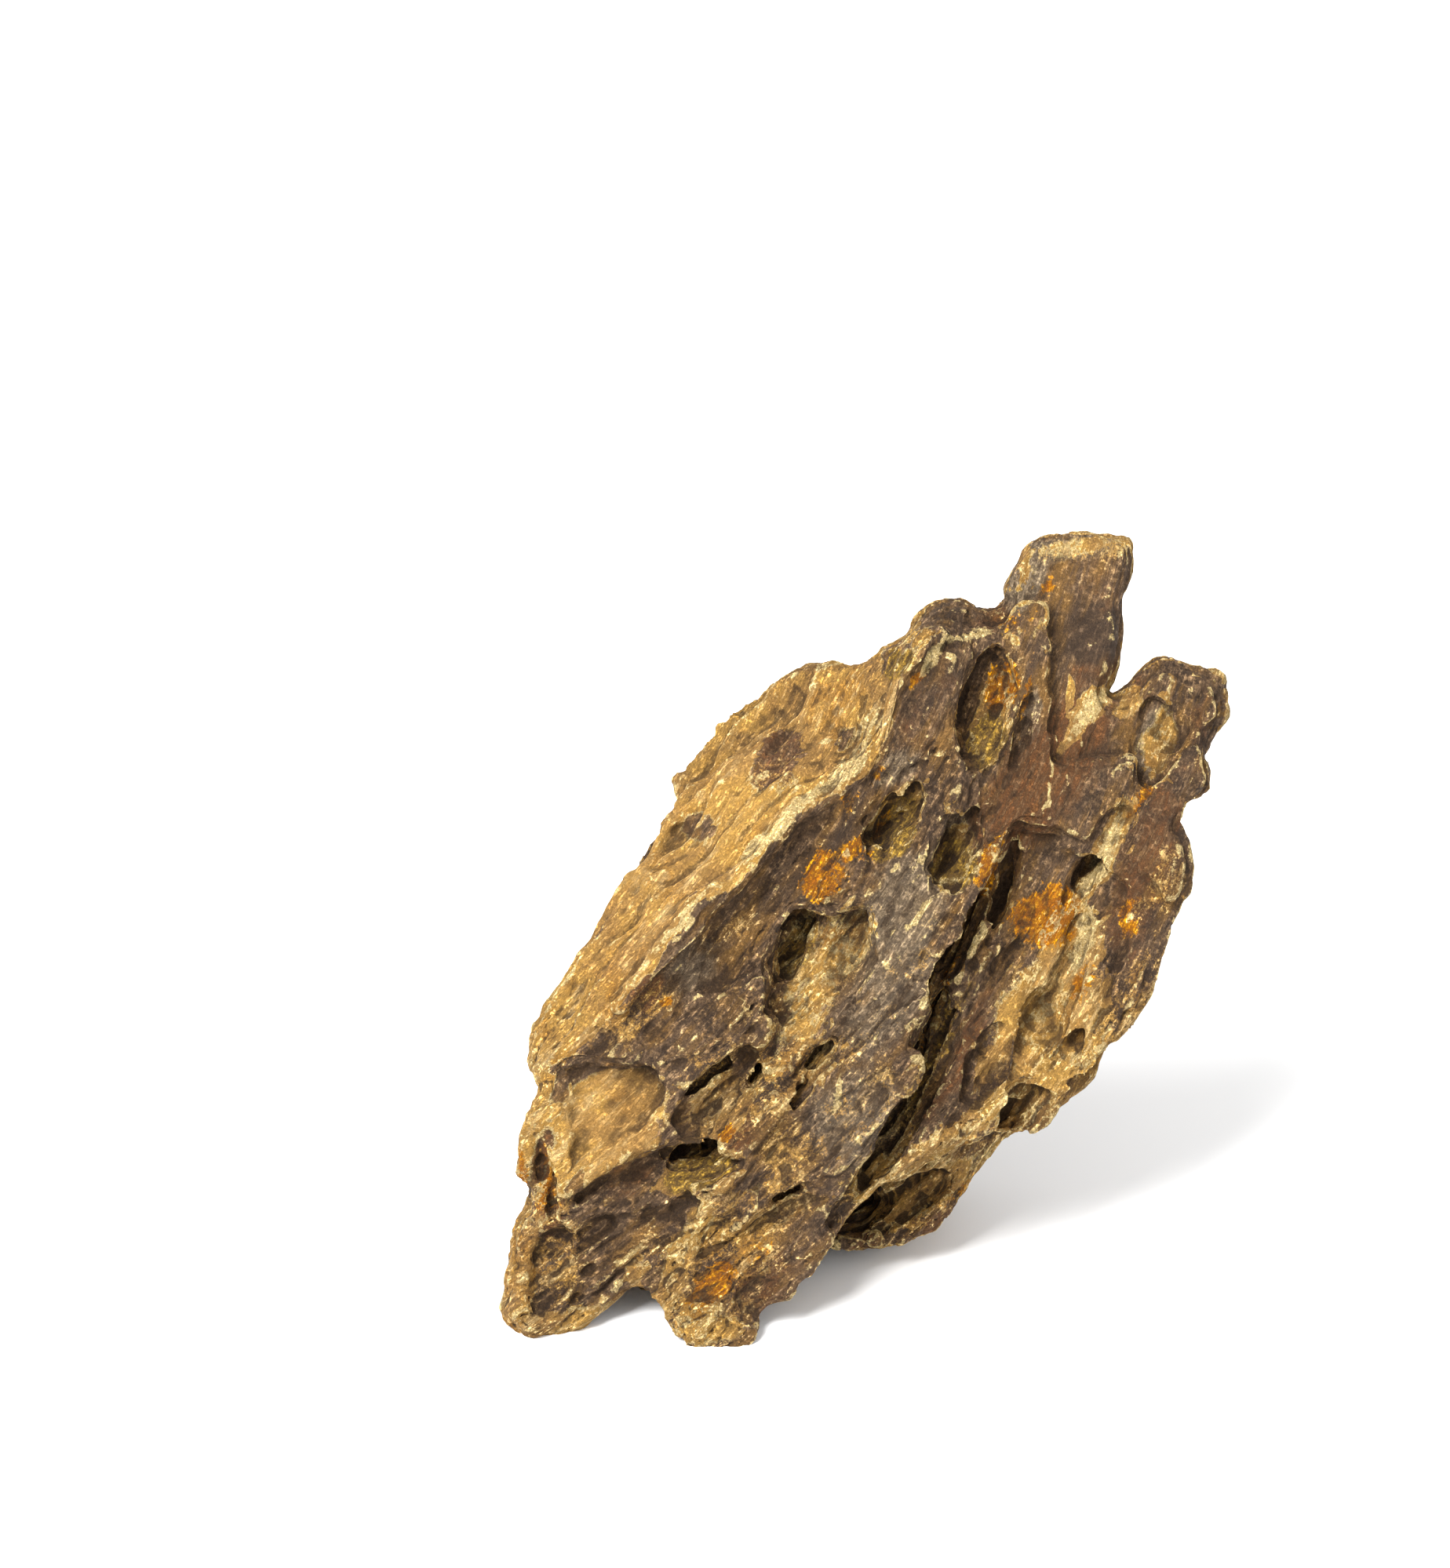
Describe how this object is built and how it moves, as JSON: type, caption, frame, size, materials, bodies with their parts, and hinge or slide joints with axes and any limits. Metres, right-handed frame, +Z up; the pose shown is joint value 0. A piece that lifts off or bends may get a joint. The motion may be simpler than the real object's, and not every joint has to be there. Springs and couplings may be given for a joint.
{
  "type": "aquarium dragon stone",
  "caption": "Weathered, layered claystone slab with long eroded pits, clefts and ledges, standing on its own level foot.",
  "frame": {"origin": "middle of the stone's bounding box, on the floor it stands on", "axes": "+Z up, -Y towards the pitted face, +X to the right of someone looking at that face"},
  "size_m": [0.187, 0.108, 0.1839],
  "materials": {
    "stone": "dry, rough claystone: dark purple-brown crust over tan and ochre clay, with cream rims"
  },
  "bodies": {
    "root": {"dragon_stone": "stone"}
  },
  "joints": []
}
